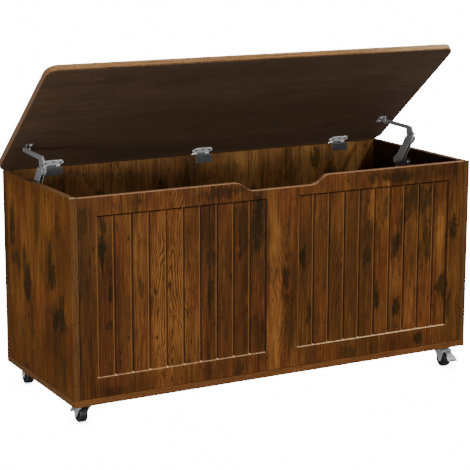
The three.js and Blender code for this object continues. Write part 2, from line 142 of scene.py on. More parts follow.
def within(tree, value, start, end, fade=0.0003):
    # 1 between start and end, 0 outside them.
    rise = spread(tree, value, start - fade, start + fade)
    return times(tree, rise, spread(tree, value, end + fade, end - fade))


def stripes(tree, value, count):
    # Rises and falls between 0 and a half, with a trough at each of count steps per unit of value.
    return calc(tree, "PINGPONG", times(tree, value, count), 0.5)


def blendColour(tree, amount, first, second, mode="MIX"):
    made = addNode(tree, "ShaderNodeMix", {"data_type": "RGBA", "blend_type": mode})
    put(tree, made.inputs["Factor"], amount)
    for socket, value in zip([s for s in made.inputs if s.type == "RGBA"], (first, second)):
        put(tree, socket, (*value, 1.0) if isinstance(value, tuple) else value)
    return next(s for s in made.outputs if s.type == "RGBA")


def sumOf(tree, base, parts):
    # base plus each pattern's distance from its middle, times its weight.
    total = base
    for pattern, weight in parts:
        total = calc(tree, "ADD", calc(tree, "MULTIPLY_ADD", pattern, weight, -0.5 * weight), total)
    return total


# A board's print. Its pattern space has X across the grain, Y through the board and Z along the
# grain, so that one recipe serves every board.

boardTones = {
    "pale": (0.285, 0.112, 0.024),
    "middle": (0.106, 0.0395, 0.0082),
    "deep": (0.034, 0.012, 0.0026),
    "ruddy": (0.116, 0.035, 0.0088),
    "stain": (0.0095, 0.0084, 0.0014),
    "line": (0.027, 0.0085, 0.0012),
}
grain = {
    # Each pattern's density across and along the grain, its detail and its roughness.
    "broad": (10.0, 2.4, 2.0, 0.5),
    "band": (52.0, 4.5, 3.0, 0.6),
    "mottle": (90.0, 34.0, 4.0, 0.65),
    "streak": (290.0, 10.0, 3.0, 0.65),
    "hair": (1100.0, 30.0, 2.0, 0.6),
    "drift": (60.0, 20.0, 4.0, 0.62),
    "hue": (16.0, 5.0, 2.0, 0.5),
    "swell": (9.0, 1.3, 1.5, 0.45),
    "pores": (330.0, 6.0, 3.0, 0.6),
    "lean": (13.0, 7.0, 2.0, 0.5),
    "waver": (28.0, 8.0, 3.0, 0.55),
    "wear": (30.0, 9.0, 4.0, 0.62),
    "fleck": (150.0, 46.0, 3.0, 0.6),
    "torn": (150.0, 60.0, 4.0, 0.7),
    "speckle": (420.0, 170.0, 2.0, 0.5),
}
ramps = {
    # The two values between which each mask changes, and what it changes from and to.
    "hue": (0.42, 0.6, 0.0, 1.0),
    "ring": (0.0, 0.2, 1.0, 0.0),
    "ringArea": (0.48, 0.66, 0.0, 0.35),
    "pores": (0.55, 0.68, 0.0, 0.72),
    "arch": (0.02, 0.26, 1.0, 0.0),
    "archBreaks": (0.36, 0.52, 0.35, 1.0),
    "knotRing": (0.1, 0.45, 1.0, 0.0),
    "knotHeart": (0.5, 0.1, 0.0, 1.0),
    "wear": (0.62, 0.74, 0.0, 0.5),
    "fleck": (0.605, 0.68, 0.0, 0.8),
    "fleckArea": (0.44, 0.52, 0.0, 1.0),
    "stainGaps": (0.35, 0.55, 1.0, 0.75),
    "speckle": (0.6, 0.68, 0.0, 1.0),
    "edgeGrain": (0.25, 0.7, 0.0, 1.0),
    "lipGrain": (0.3, 0.6, 0.35, 0.75),
    "roughness": (0.3, 0.7, 0.5, 0.62),
}
figure = {
    "level": 0.49,  # the tone's level before any pattern: 0 is deep, 0.5 middle and 1 pale
    "weights": {"broad": 0.7, "band": 0.6, "mottle": 0.4, "streak": 0.95, "hair": 0.7},
    "drift": (0.024, 0.06),  # how far the marks' outlines stray across and along the grain
    "rings": 34.0,  # year rings over the whole range of the swell
    # How far arched lines lean, waver and tremble, and how round their tips are.
    "arch": {"lean": 0.05, "waver": 0.13, "tremble": 0.01, "tip": 0.00003},
    "knot": {"length": 1 / 0.72, "rings": 1.7, "fade": (1.3, 0.8)},  # all in the knot's radius
    "stain": {"softness": 0.28, "tear": 2.6},
    "edgeShade": 0.35,  # of an edge's tone, in the dark of its grain
    "fineLevel": 0.55, "fineWeights": {"streak": 0.8, "hair": 1.0},
    "shine": 0.09,
    "hairHeight": 0.6,  # over the streaks' height
    "bump": {"Strength": 0.3, "Distance": 0.0003},
}


def patternSpace(tree, across, through, along, shift):
    # The place on the board, and the same shifted so that no two boards show the same print.
    point = coordinates(tree)
    parts = [vectorCalc(tree, "DOT_PRODUCT", point, axis) for axis in (across, through, along)]
    place = addNode(tree, "ShaderNodeCombineXYZ", inputs=dict(enumerate(parts))).outputs[0]
    return place, vectorCalc(tree, "ADD", place, shift)


def grainNoise(tree, loose, pattern, output="Fac"):
    # One of the grain's patterns: noise pulled out along the board.
    across, along, detail, roughness = grain[pattern]
    stretched = vectorCalc(tree, "MULTIPLY", loose, (across, across, along))
    return noise(tree, stretched, 1.0, detail, roughness, output)


def distanceFrom(tree, place, across, along, halfWidth, halfLength):
    # 0 at the middle of an ellipse, 1 on it.
    scale = (1 / halfWidth, 0, 1 / halfLength)
    away = vectorCalc(tree, "MULTIPLY_ADD", place, scale, (-across / halfWidth, 0, -along / halfLength))
    return vectorCalc(tree, "LENGTH", away)


def placedMarks(tree, place, marks, softness=0.7, ragged=None):
    # The strongest of some soft ellipses. A ragged pattern moves their outlines in and out.
    masks = []
    for *ellipse, strength in marks:
        distance = distanceFrom(tree, place, *ellipse)
        if ragged is not None:
            distance = calc(tree, "ADD", distance, ragged)
        masks.append(spread(tree, distance, 1 + softness, 1 - softness, 0.0, strength, soft=True))
    return strongest(tree, masks)


def archedLines(tree, place, loose, mottle, centre, bow, lineCount, reach):
    # Growth lines in steep, wavy arrow shapes on both sides of a knot: where the distance along the
    # grain, less bow times the distance across it, passes each of lineCount steps a metre. They come
    # and go, and fade out at the reach.
    across, along = centre
    fromKnot = vectorCalc(tree, "MULTIPLY_ADD", place, (1, 0, 1), (-across, 0, -along))
    parts = addNode(tree, "ShaderNodeSeparateXYZ", inputs={0: fromKnot}).outputs
    form = figure["arch"]
    sideways = sumOf(tree, parts[0], [(grainNoise(tree, loose, "lean"), form["lean"])])
    roundTip = calc(tree, "SQRT", calc(tree, "MULTIPLY_ADD", sideways, sideways, form["tip"]))
    waver = grainNoise(tree, loose, "waver")
    wave = calc(tree, "MULTIPLY_ADD", waver, form["waver"], times(tree, mottle, form["tremble"]))
    level = calc(tree, "SUBTRACT", calc(tree, "ABSOLUTE", parts[2]), times(tree, roundTip, bow))
    line = spread(tree, stripes(tree, calc(tree, "ADD", level, wave), lineCount), *ramps["arch"])
    line = times(tree, line, spread(tree, waver, *ramps["archBreaks"]))
    return times(tree, line, placedMarks(tree, place, [reach]))


def knotRings(tree, place, knots):
    # Rings round each knot, with a dark heart. A knot is longer along the grain.
    form = figure["knot"]
    masks = []
    for across, along, radius, strength in knots:
        distance = distanceFrom(tree, place, across, along, radius, radius * form["length"])
        ring = spread(tree, stripes(tree, distance, form["rings"]), *ramps["knotRing"])
        heart = spread(tree, distance, *ramps["knotHeart"])
        fade = spread(tree, distance, *form["fade"], 0.0, strength)
        masks.append(times(tree, strongest(tree, [ring, heart]), fade))
    return strongest(tree, masks)


def grainTone(tree, loose, bent, patterns, tones, marks):
    # All the patterns' weighted sum sets the level, from deep through middle to pale.
    weights = figure["weights"]
    level = sumOf(tree, figure["level"], [(patterns[name], weights[name]) for name in weights])
    if "bright" in marks:
        level = calc(tree, "ADD", level, placedMarks(tree, bent, marks["bright"]))
    if "dull" in marks:
        level = calc(tree, "SUBTRACT", level, placedMarks(tree, bent, marks["dull"]))
    hue = spread(tree, grainNoise(tree, loose, "hue"), *ramps["hue"])
    middle = blendColour(tree, hue, tones["middle"], tones["ruddy"])
    deepToMiddle = blendColour(tree, spread(tree, level, 0.0, 0.5), tones["deep"], middle)
    return blendColour(tree, spread(tree, level, 0.5, 1.0), deepToMiddle, tones["pale"])


def grainLines(tree, place, loose, bent, patterns, marks):
    # Year rings, pores, and the arches and knots that the board has.
    rings = spread(tree, stripes(tree, grainNoise(tree, loose, "swell"), figure["rings"]), *ramps["ring"])
    masks = [
        times(tree, rings, spread(tree, patterns["band"], *ramps["ringArea"])),
        spread(tree, grainNoise(tree, loose, "pores"), *ramps["pores"]),
    ]
    for arch in marks.get("arches", ()):
        masks.append(archedLines(tree, place, loose, patterns["mottle"], **arch))
    if "knots" in marks:
        masks.append(knotRings(tree, bent, marks["knots"]))
    return strongest(tree, masks)


def grainStains(tree, loose, bent, patterns, marks):
    # Worn patches with small flecks round them, and the stains that the board has.
    wear = grainNoise(tree, loose, "wear")
    flecks = spread(tree, grainNoise(tree, loose, "fleck"), *ramps["fleck"])
    masks = [
        spread(tree, wear, *ramps["wear"]),
        times(tree, flecks, spread(tree, wear, *ramps["fleckArea"])),
    ]
    if "stains" in marks:
        torn = grainNoise(tree, loose, "torn")
        ragged = sumOf(tree, 0.0, [(torn, figure["stain"]["tear"]), (patterns["streak"], 1.0)])
        placed = placedMarks(tree, bent, marks["stains"], figure["stain"]["softness"], ragged)
        masks.append(times(tree, placed, spread(tree, torn, *ramps["stainGaps"])))
    return strongest(tree, masks)


def boardColour(tree, place, loose, patterns, tones, marks):
    # Tone, lines and stains, one over the other. The marks' outlines drift with the grain.
    across, along = figure["drift"]
    drift = grainNoise(tree, loose, "drift", "Color")
    drift = vectorCalc(tree, "MULTIPLY_ADD", drift, (across, 0, along), (-across / 2, 0, -along / 2))
    bent = vectorCalc(tree, "ADD", place, drift)
    colour = grainTone(tree, loose, bent, patterns, tones, marks)
    colour = blendColour(tree, grainLines(tree, place, loose, bent, patterns, marks), colour, tones["line"])
    return blendColour(tree, grainStains(tree, loose, bent, patterns, marks), colour, tones["stain"])


# What lies over the print: edges in other tones, some of them painted highlight and some painted shade,
# painted highlight and shade on the fields' lips and corners, and the lid's plainer underside in painted shade.

edgeTones = {
    # painted highlight on edges that face the light
    "bare": (0.9, 0.62, 0.34),
    # painted highlight on the fields' lower bevels
    "bevelHighlight": (0.54, 0.33, 0.17),
    # lighter tones on the top edges, partly painted highlight; the front board's top lip a painted highlight
    "top": (0.23, 0.112, 0.042),
    "sideTop": (0.30, 0.155, 0.068),
    "topLip": (0.55, 0.29, 0.16),
    "strip": (0.132, 0.061, 0.019),
    # painted highlight on the left lips of the grooves and fields
    "lipHighlight": (0.27, 0.118, 0.034),
    # painted highlight on the grooves' right-facing walls
    "grooveHighlight": (0.2, 0.09, 0.026),
    # painted shade in the grooves, in the fields' corners and under the lid's front edge
    "paintedShade": (0.016, 0.005, 0.0008),
    "lidFront": (0.36, 0.185, 0.072),
    "lidEnd": (0.29, 0.16, 0.085),
    "lidLine": (0.62, 0.37, 0.19),
    "baseFront": (0.205, 0.082, 0.025),
    "baseEnd": (0.19, 0.095, 0.036),
    # painted shade on the side boards' inner faces
    "insideShade": (0.008, 0.0034, 0.0008),
}


def edge(axis, tone, amount, *limits, turn=(0.6, 0.9)):
    # Faces that look along axis take a tone, from none to amount between the two cosines of turn.
    # Each limit, (direction, start, end), fades it in between two places along a direction.
    return {"axis": axis, "tone": edgeTones[tone], "amount": amount, "limits": limits, "turn": turn}


def tintedEdges(tree, colour, fine, edges):
    # Each edge's tone, darker in the grain, goes over the colour.
    normal, point = coordinates(tree, "Normal"), coordinates(tree)
    for look in edges:
        facing = vectorCalc(tree, "DOT_PRODUCT", normal, look["axis"])
        mask = spread(tree, facing, *look["turn"], 0.0, look["amount"])
        for direction, start, end in look["limits"]:
            along = vectorCalc(tree, "DOT_PRODUCT", point, direction)
            mask = times(tree, mask, spread(tree, along, start, end))
        dark = tuple(part * figure["edgeShade"] for part in look["tone"])
        grained = blendColour(tree, spread(tree, fine, *ramps["edgeGrain"]), dark, look["tone"])
        colour = blendColour(tree, mask, colour, grained)
    return colour


slatFields = {
    # The two recessed fields.
    "lefts": (-0.4345, 0.0395), "width": 0.395, "low": 0.107, "high": 0.446,
    "slats": 10, "halfGroove": 0.0025,
}
lipLightAndShade = {
    # The painted highlight line's sides, from a groove's or a field's left rim, and the painted highlight
    # at the foot, from a groove's middle and foot; and the painted shade in the corners.
    "groove": (-0.0014, 0.0006), "field": (-0.0010, 0.0004),
    "footAcross": (-0.0020, 0.0012), "footUp": (0.0005, 0.0030), "footStart": -0.003, "footStrength": 0.55,
    "shadeWidth": 0.0045, "shadeGap": 0.0005, "shadeStrength": 0.85,
}


def lipHighlightsAndShade(tree, colour, place, fine):
    # A thin painted highlight along the left lip of each groove and field, a painted highlight at each
    # groove's foot, and painted shade in the corners along each field's top and right.
    parts = addNode(tree, "ShaderNodeSeparateXYZ", inputs={0: place}).outputs
    width, low, high = (slatFields[key] for key in ("width", "low", "high"))
    pitch = width / slatFields["slats"]
    tall = within(tree, parts[2], low, high)
    paintedHighlight = times(tree, tall, spread(tree, fine, *ramps["lipGrain"]))
    topShade = spread(tree, parts[2], high - lipLightAndShade["shadeWidth"], high)
    shadeEnd = width - lipLightAndShade["shadeGap"]
    footHeight = within(tree, parts[2], *(low + up for up in lipLightAndShade["footUp"]))
    rims = [rim - slatFields["halfGroove"] for rim in lipLightAndShade["groove"]]
    for left in slatFields["lefts"]:
        over = calc(tree, "SUBTRACT", parts[0], left)
        turn = calc(tree, "FRACT", calc(tree, "MULTIPLY_ADD", over, 1 / pitch, 0.5))
        away = calc(tree, "MULTIPLY_ADD", turn, pitch, -0.5 * pitch)  # from the nearest groove's middle
        betweenEnds = within(tree, over, 0.5 * pitch, width - 0.5 * pitch)
        grooveLip = times(tree, betweenEnds, within(tree, away, *rims))
        lip = strongest(tree, [grooveLip, within(tree, over, *lipLightAndShade["field"])])
        rightShade = spread(tree, over, shadeEnd - lipLightAndShade["shadeWidth"], shadeEnd)
        cornerShade = times(tree, strongest(tree, [topShade, rightShade]), within(tree, over, 0.0, width))
        cornerShade = times(tree, cornerShade, times(tree, tall, lipLightAndShade["shadeStrength"]))
        beforeEnd = within(tree, over, lipLightAndShade["footStart"], width - 0.5 * pitch)
        foot = times(tree, times(tree, within(tree, away, *lipLightAndShade["footAcross"]), footHeight), beforeEnd)
        # painted shade in the corners, then painted highlight on the lips and at the feet
        colour = blendColour(tree, cornerShade, colour, edgeTones["paintedShade"])
        colour = blendColour(tree, times(tree, lip, paintedHighlight), colour, edgeTones["lipHighlight"])
        colour = blendColour(tree, times(tree, foot, lipLightAndShade["footStrength"]), colour, edgeTones["bare"])
    return colour


# Painted shade: between turn's two cosines the print is tinted, and a plain tone mixed in by amount.
undersideShade = {"turn": (0.0, -0.6), "amount": 0.66, "tint": (0.78, 1.25, 3.6), "tone": (0.084, 0.0522, 0.0325)}


def shadedBelow(tree, colour, up):
    # Faces that look down from the lid are greyer and plainer than the rest, as painted shade.
    facing = vectorCalc(tree, "DOT_PRODUCT", coordinates(tree, "Normal"), up)
    below = spread(tree, facing, *undersideShade["turn"])
    tinted = blendColour(tree, 1.0, colour, undersideShade["tint"], "MULTIPLY")
    plainer = blendColour(tree, undersideShade["amount"], tinted, undersideShade["tone"])
    return blendColour(tree, below, colour, plainer)


def boardMaterial(name, axes, shift, marks, edges, tones=boardTones, up=None, slatted=False):
    material, tree, shader = startMaterial(name)
    place, loose = patternSpace(tree, *axes, shift)
    patterns = {pattern: grainNoise(tree, loose, pattern) for pattern in figure["weights"]}
    colour = boardColour(tree, place, loose, patterns, tones, marks)
    if up:
        colour = shadedBelow(tree, colour, up)
    # The finest grain with dark specks, for the edges and lips.
    speckle = spread(tree, grainNoise(tree, loose, "speckle"), *ramps["speckle"])
    weighed = [(patterns[pattern], weight) for pattern, weight in figure["fineWeights"].items()]
    fine = calc(tree, "SUBTRACT", sumOf(tree, figure["fineLevel"], weighed), speckle)
    colour = tintedEdges(tree, colour, fine, edges)
    if slatted:
        colour = lipHighlightsAndShade(tree, colour, place, fine)
    put(tree, shader.inputs["Base Color"], colour)
    put(tree, shader.inputs["Roughness"], spread(tree, patterns["streak"], *ramps["roughness"]))
    shader.inputs["Specular IOR Level"].default_value = figure["shine"]
    height = calc(tree, "MULTIPLY_ADD", patterns["hair"], figure["hairHeight"], patterns["streak"])
    bump = addNode(tree, "ShaderNodeBump", inputs={**figure["bump"], "Height": height})
    put(tree, shader.inputs["Normal"], bump.outputs[0])
    return material


def dress(name, material):
    for slot in nodes[name].material_slots:
        slot.material = material


# The boards. Marks lie across and along the grain, from the middle of the length and from the ground,
# and each is (across, along, half width, half length, strength).

frontMarks = {
    "stains": [
        (-0.422, 0.376, 0.008, 0.030, 1.0), (-0.419, 0.428, 0.007, 0.018, 0.75),
        (-0.405, 0.282, 0.006, 0.026, 0.9), (-0.406, 0.211, 0.009, 0.012, 0.65),
        (-0.336, 0.284, 0.005, 0.024, 0.5), (-0.468, 0.440, 0.012, 0.030, 0.6),
        (-0.180, 0.405, 0.018, 0.055, 0.6), (-0.173, 0.330, 0.014, 0.026, 0.6),
        (-0.172, 0.262, 0.008, 0.034, 0.7), (-0.096, 0.385, 0.016, 0.058, 0.7),
        (-0.088, 0.290, 0.008, 0.050, 0.5), (-0.062, 0.398, 0.016, 0.060, 0.85),
        (-0.062, 0.150, 0.016, 0.040, 0.5), (-0.105, 0.080, 0.012, 0.013, 0.6),
        (-0.150, 0.468, 0.050, 0.013, 0.6), (-0.400, 0.070, 0.022, 0.014, 0.5),
        (0.010, 0.265, 0.007, 0.022, 0.85), (0.012, 0.390, 0.004, 0.009, 0.7),
        (0.016, 0.150, 0.016, 0.050, 0.45), (0.054, 0.304, 0.010, 0.022, 0.95),
        (0.069, 0.181, 0.007, 0.030, 0.8), (0.216, 0.290, 0.009, 0.026, 0.75),
        (0.220, 0.345, 0.011, 0.022, 0.45), (0.270, 0.392, 0.008, 0.022, 0.6),
        (0.247, 0.192, 0.007, 0.036, 0.95), (0.296, 0.314, 0.014, 0.026, 0.85),
        (0.311, 0.366, 0.009, 0.022, 0.7), (0.298, 0.170, 0.007, 0.022, 0.85),
        (0.355, 0.408, 0.044, 0.034, 0.72), (0.382, 0.312, 0.011, 0.045, 0.65),
        (0.421, 0.200, 0.015, 0.032, 0.8), (0.450, 0.332, 0.012, 0.028, 0.9),
        (0.443, 0.160, 0.005, 0.032, 0.6), (0.292, 0.466, 0.040, 0.013, 0.75),
        (0.228, 0.463, 0.012, 0.010, 0.6), (0.360, 0.086, 0.014, 0.017, 0.8),
        (0.172, 0.076, 0.022, 0.012, 0.5),
    ],
    "bright": [
        (-0.270, 0.270, 0.046, 0.200, 0.27), (-0.268, 0.440, 0.042, 0.070, 0.26),
        (-0.390, 0.430, 0.024, 0.060, 0.12), (-0.020, 0.250, 0.018, 0.220, 0.34),
        (0.232, 0.410, 0.010, 0.045, 0.4), (0.262, 0.400, 0.015, 0.075, 0.36),
        (0.296, 0.230, 0.018, 0.040, 0.2), (0.420, 0.320, 0.014, 0.080, 0.3),
        (0.340, 0.170, 0.020, 0.060, 0.18), (0.468, 0.240, 0.014, 0.180, 0.08),
        (-0.336, 0.280, 0.018, 0.200, 0.14), (0.075, 0.400, 0.020, 0.050, 0.12),
        (-0.296, 0.280, 0.018, 0.200, 0.34), (0.375, 0.280, 0.018, 0.200, 0.08),
        (0.257, 0.250, 0.018, 0.160, 0.1),
    ],
    "dull": [
        (-0.462, 0.250, 0.024, 0.210, 0.28), (-0.110, 0.250, 0.070, 0.190, 0.24),
        (0.170, 0.200, 0.045, 0.130, 0.12), (0.020, 0.200, 0.020, 0.090, 0.15),
        (-0.398, 0.260, 0.028, 0.190, 0.24), (-0.400, 0.078, 0.080, 0.024, 0.26),
        (-0.150, 0.080, 0.090, 0.022, 0.2), (0.330, 0.078, 0.080, 0.022, 0.16),
        (-0.120, 0.468, 0.060, 0.016, 0.22), (-0.059, 0.280, 0.018, 0.200, 0.24),
        (0.059, 0.280, 0.018, 0.200, 0.12), (0.200, 0.280, 0.036, 0.200, 0.2),
        (0.462, 0.280, 0.026, 0.240, 0.05), (-0.340, 0.468, 0.120, 0.018, 0.12),
        (0.360, 0.468, 0.110, 0.018, 0.24),
    ],
    "arches": [
        {"centre": (-0.264, 0.376), "bow": 8.0, "lineCount": 24, "reach": (-0.270, 0.300, 0.050, 0.260, 1.0)},
        {"centre": (0.145, 0.340), "bow": 7.0, "lineCount": 30, "reach": (0.140, 0.260, 0.022, 0.100, 0.7)},
        {"centre": (0.010, 0.223), "bow": 7.0, "lineCount": 24, "reach": (0.000, 0.240, 0.030, 0.150, 0.6)},
    ],
    # Each knot: across, along, radius and strength.
    "knots": [
        (-0.336, 0.466, 0.006, 0.9), (-0.093, 0.206, 0.010, 0.8), (0.018, 0.223, 0.013, 0.75),
        (-0.262, 0.378, 0.009, 0.6), (-0.030, 0.210, 0.004, 0.7),
    ],
}
# Limits of the front board's edges.
belowNotch, aboveFields = (upward, 0.40, 0.30), (upward, 0.40, 0.46)
rightField = (rightward, -0.1, 0.2)
fieldRim = (backward, frontY + 0.0020, frontY + 0.0012)
topFront = (backward, frontY + 0.0095, frontY + 0.0070)
dress("front_panel", boardMaterial(
    "frontBoard", (rightward, backward, upward), (0.3, 0.1, 0.2), frontMarks, slatted=True,
    edges=[
        # painted highlight on the fields' lower bevels, palest in the right field
        edge(upward, "bevelHighlight", 0.8, belowNotch, fieldRim, turn=(0.3, 0.7)),
        edge(upward, "bare", 0.8, belowNotch, fieldRim, rightField, turn=(0.3, 0.7)),
        # a lighter top, partly painted highlight, and a painted highlight on its front lip
        edge(upward, "top", 0.6, aboveFields, turn=(0.3, 0.7)),
        edge(upward, "topLip", 0.9, aboveFields, topFront, turn=(0.2, 0.6)),
        # painted highlight on the grooves' right-facing walls, painted shade on their left- and down-facing walls
        edge(rightward, "grooveHighlight", 0.8, turn=(0.3, 0.6)),
        edge(leftward, "paintedShade", 0.7, turn=(0.3, 0.6)),
        edge(downward, "paintedShade", 0.85, turn=(0.3, 0.6)),
    ],
))

backMarks = {
    "stains": [
        (-0.110, 0.400, 0.012, 0.030, 0.8), (-0.265, 0.392, 0.016, 0.026, 0.8),
        (0.130, 0.372, 0.022, 0.024, 0.8), (0.310, 0.452, 0.013, 0.026, 0.8),
        (0.350, 0.412, 0.014, 0.022, 0.85), (0.070, 0.440, 0.030, 0.020, 0.45),
        (-0.190, 0.440, 0.024, 0.030, 0.4), (-0.360, 0.430, 0.020, 0.036, 0.5),
        (0.240, 0.425, 0.016, 0.040, 0.4), (0.020, 0.380, 0.034, 0.022, 0.4),
        (-0.030, 0.450, 0.020, 0.018, 0.35), (-0.400, 0.250, 0.014, 0.070, 0.6),
        (-0.050, 0.200, 0.030, 0.060, 0.5), (0.200, 0.160, 0.018, 0.050, 0.6),
        (0.400, 0.280, 0.022, 0.080, 0.5),
    ],
    "bright": [
        (0.400, 0.440, 0.040, 0.050, 0.22), (0.095, 0.440, 0.040, 0.060, 0.34),
        (-0.290, 0.430, 0.040, 0.060, 0.2), (-0.212, 0.430, 0.030, 0.050, 0.14),
        (0.284, 0.440, 0.030, 0.060, 0.24),
    ],
    "dull": [(-0.038, 0.440, 0.036, 0.060, 0.38), (-0.112, 0.440, 0.030, 0.050, 0.16)],
}
# The back board's tones are lighter than the other boards', as painted light; its top edge is lighter, partly
# painted highlight.
backTones = dict(
    boardTones, pale=(0.315, 0.15, 0.044), middle=(0.13, 0.06, 0.0175), ruddy=(0.142, 0.06, 0.0175),
)
dress("back_panel", boardMaterial(
    "backBoard", (rightward, backward, upward), (2.1, 1.0, 0.7), backMarks,
    edges=[edge(upward, "top", 0.8)], tones=backTones,
))

marksBehindFront = {
    # Here the place across is the distance behind the front board's face.
    "stains": [
        (0.072, 0.222, 0.040, 0.0264, 0.95), (0.060, 0.250, 0.0175, 0.033, 0.7),
        (0.246, 0.262, 0.020, 0.0396, 0.85), (0.262, 0.305, 0.010, 0.033, 0.7),
        (0.106, 0.302, 0.01625, 0.0286, 0.85), (0.116, 0.352, 0.010, 0.0374, 0.75),
        (0.190, 0.405, 0.01125, 0.055, 0.6), (0.330, 0.372, 0.015, 0.0506, 0.8),
        (0.310, 0.300, 0.025, 0.022, 0.65), (0.074, 0.412, 0.015, 0.022, 0.5),
        (0.224, 0.186, 0.010, 0.055, 0.6), (0.262, 0.068, 0.015, 0.0176, 0.7),
        (0.052, 0.100, 0.0125, 0.044, 0.4), (0.374, 0.330, 0.010, 0.132, 0.6),
        (0.160, 0.330, 0.00625, 0.055, 0.4),
    ],
    "bright": [
        (0.170, 0.290, 0.040, 0.110, 0.18), (0.290, 0.220, 0.026, 0.080, 0.16),
        (0.227, 0.365, 0.042, 0.110, 0.26), (0.133, 0.425, 0.030, 0.045, 0.24),
        (0.322, 0.420, 0.028, 0.050, 0.18), (0.227, 0.168, 0.036, 0.050, 0.16),
    ],
    "dull": [
        (0.044, 0.370, 0.030, 0.090, 0.18), (0.070, 0.165, 0.070, 0.060, 0.28),
        (0.133, 0.310, 0.026, 0.040, 0.1),
    ],
}
sideMarks = {
    kind: [(frontY + behind, *rest) for behind, *rest in marks] for kind, marks in marksBehindFront.items()
}
sideTones = dict(
    boardTones, pale=(0.285, 0.109, 0.018), middle=(0.107, 0.0385, 0.0048), deep=(0.034, 0.0118, 0.0014),
    ruddy=(0.118, 0.035, 0.0055),
)
frontCorner = (backward, frontY + 0.012, frontY + 0.008)
dress("left_side_panel", boardMaterial(
    "leftBoard", (backward, rightward, upward), (4.4, 3.0, 1.3), sideMarks,
    edges=[
        # a lighter top, partly painted highlight, and a painted highlight on its front corner
        edge(upward, "sideTop", 0.8),
        edge(upward, "bare", 0.9, frontCorner),
        edge(forward, "strip", 0.8),
        # painted shade on the inner face
        edge(rightward, "insideShade", 0.8),
    ],
    tones=sideTones,
))
dress("right_side_panel", boardMaterial(
    "rightBoard", (backward, rightward, upward), (6.3, 5.0, 0.1), sideMarks,
    edges=[
        # a lighter top, partly painted highlight
        edge(upward, "sideTop", 0.8),
        edge(forward, "strip", 0.8),
        # painted shade on the inner face
        edge(leftward, "insideShade", 0.95),
    ],
    tones=sideTones,
))

dress("base_panel", boardMaterial(
    "baseBoard", (backward, upward, rightward), (1.3, 7.0, 0.4), {},
    edges=[
        edge(forward, "baseFront", 0.8),
        edge(leftward, "baseEnd", 0.75),
        edge(rightward, "baseEnd", 0.75),
    ],
    tones=dict(boardTones, middle=(0.13, 0.04, 0.0075), ruddy=(0.14, 0.036, 0.008)),
))

lidMarks = {
    # Here the place across is how far the mark lies along lidForward.
    "stains": [
        (0.400, 0.100, 0.014, 0.060, 0.6), (0.320, 0.055, 0.010, 0.040, 0.5),
        (0.280, 0.150, 0.010, 0.030, 0.55), (0.505, -0.330, 0.014, 0.050, 0.85),
        (0.485, -0.170, 0.016, 0.060, 0.85), (0.500, 0.020, 0.012, 0.060, 0.6),
        (0.275, -0.060, 0.012, 0.050, 0.4), (0.490, -0.440, 0.016, 0.034, 0.55),
        (0.440, -0.360, 0.016, 0.050, 0.45), (0.385, -0.410, 0.012, 0.030, 0.5),
        (0.470, -0.200, 0.010, 0.070, 0.3), (0.250, 0.330, 0.014, 0.050, 0.4),
        (0.430, 0.360, 0.012, 0.070, 0.35), (0.350, -0.200, 0.016, 0.080, 0.3),
        (0.500, 0.250, 0.010, 0.080, 0.35),
    ],
    "dull": [
        (0.300, 0.050, 0.070, 0.280, 0.18), (0.510, -0.060, 0.040, 0.300, 0.3),
        (0.175, -0.150, 0.050, 0.420, 0.4),
    ],
}
# Limits of the lid's front edge.
topLine = (lidUp, lidBottom + 0.0085, lidBottom + 0.0125)
bottomLine = (lidUp, lidBottom + 0.0030, lidBottom + 0.0012)
rightEnd = (rightward, 0.20, 0.49)
# The lid's underside takes painted shade.
dress("lid_panel", boardMaterial(
    "lidBoard", (lidForward, lidUp, rightward), (3.3, 9.0, 0.9), lidMarks, up=lidUp,
    edges=[
        edge(lidForward, "lidFront", 0.9, turn=(0.4, 0.8)),
        # painted highlight along the top of the front edge
        edge(lidForward, "lidLine", 0.6, topLine, turn=(0.4, 0.8)),
        # painted highlight towards the right end
        edge(lidForward, "bare", 0.4, rightEnd, turn=(0.4, 0.8)),
        # painted shadow along the bottom of the front edge
        edge(lidForward, "paintedShade", 0.6, bottomLine, turn=(0.4, 0.8)),
        edge(leftward, "lidEnd", 0.9, turn=(0.5, 0.9)),
        edge(rightward, "lidEnd", 0.9, turn=(0.5, 0.9)),
    ],
))
print("boards done")


# Metal and rubber.

metalLooks = {
    # Each metal's colour, roughness, metallic part, and the colour of the painted highlight on its edges.
    "brightZinc": ((0.86, 0.87, 0.88), 0.30, 0.4, (0.9, 0.9, 0.9)),
    "casterZinc": ((0.88, 0.89, 0.90), 0.22, 0.75, (0.9, 0.9, 0.9)),
    # a whiter, almost non-metallic copy of the zinc, as painted highlight
    "leafZincPaintedLight": ((0.97, 0.97, 0.96), 0.32, 0.05, (1.0, 1.0, 1.0)),
    "stayZinc": ((0.27, 0.272, 0.275), 0.30, 0.4, (1.0, 1.0, 1.0)),
    # a darker copy of the stays' zinc, as painted shade
    "shadedZinc": ((0.075, 0.075, 0.078), 0.34, 0.4, (0.45, 0.45, 0.45)),
    "darkSteel": ((0.055, 0.056, 0.060), 0.38, 0.4, (0.30, 0.30, 0.31)),
    "blackenedSteel": ((0.020, 0.020, 0.022), 0.40, 0.4, (0.10, 0.10, 0.10)),
}


sheet = {
    # The clouds' and the grain's noise: density, detail and roughness.
    "cloud": (210.0, 4.0, 0.6), "grain": (2600.0, 2.0, 0.5),
    # Between two values of the clouds the colour clears from dullest, and the roughness grows.
    "clearing": (0.35, 0.65), "dullest": 0.78, "roughening": (0.3, 0.7), "rougher": 0.12,
    # the edges' rounding, and the cosines between which the painted highlight comes in
    "edgeRadius": 0.0011, "paintedHighlight": (0.995, 0.90),
    "bump": {"Strength": 0.12, "Distance": 0.0001},
}


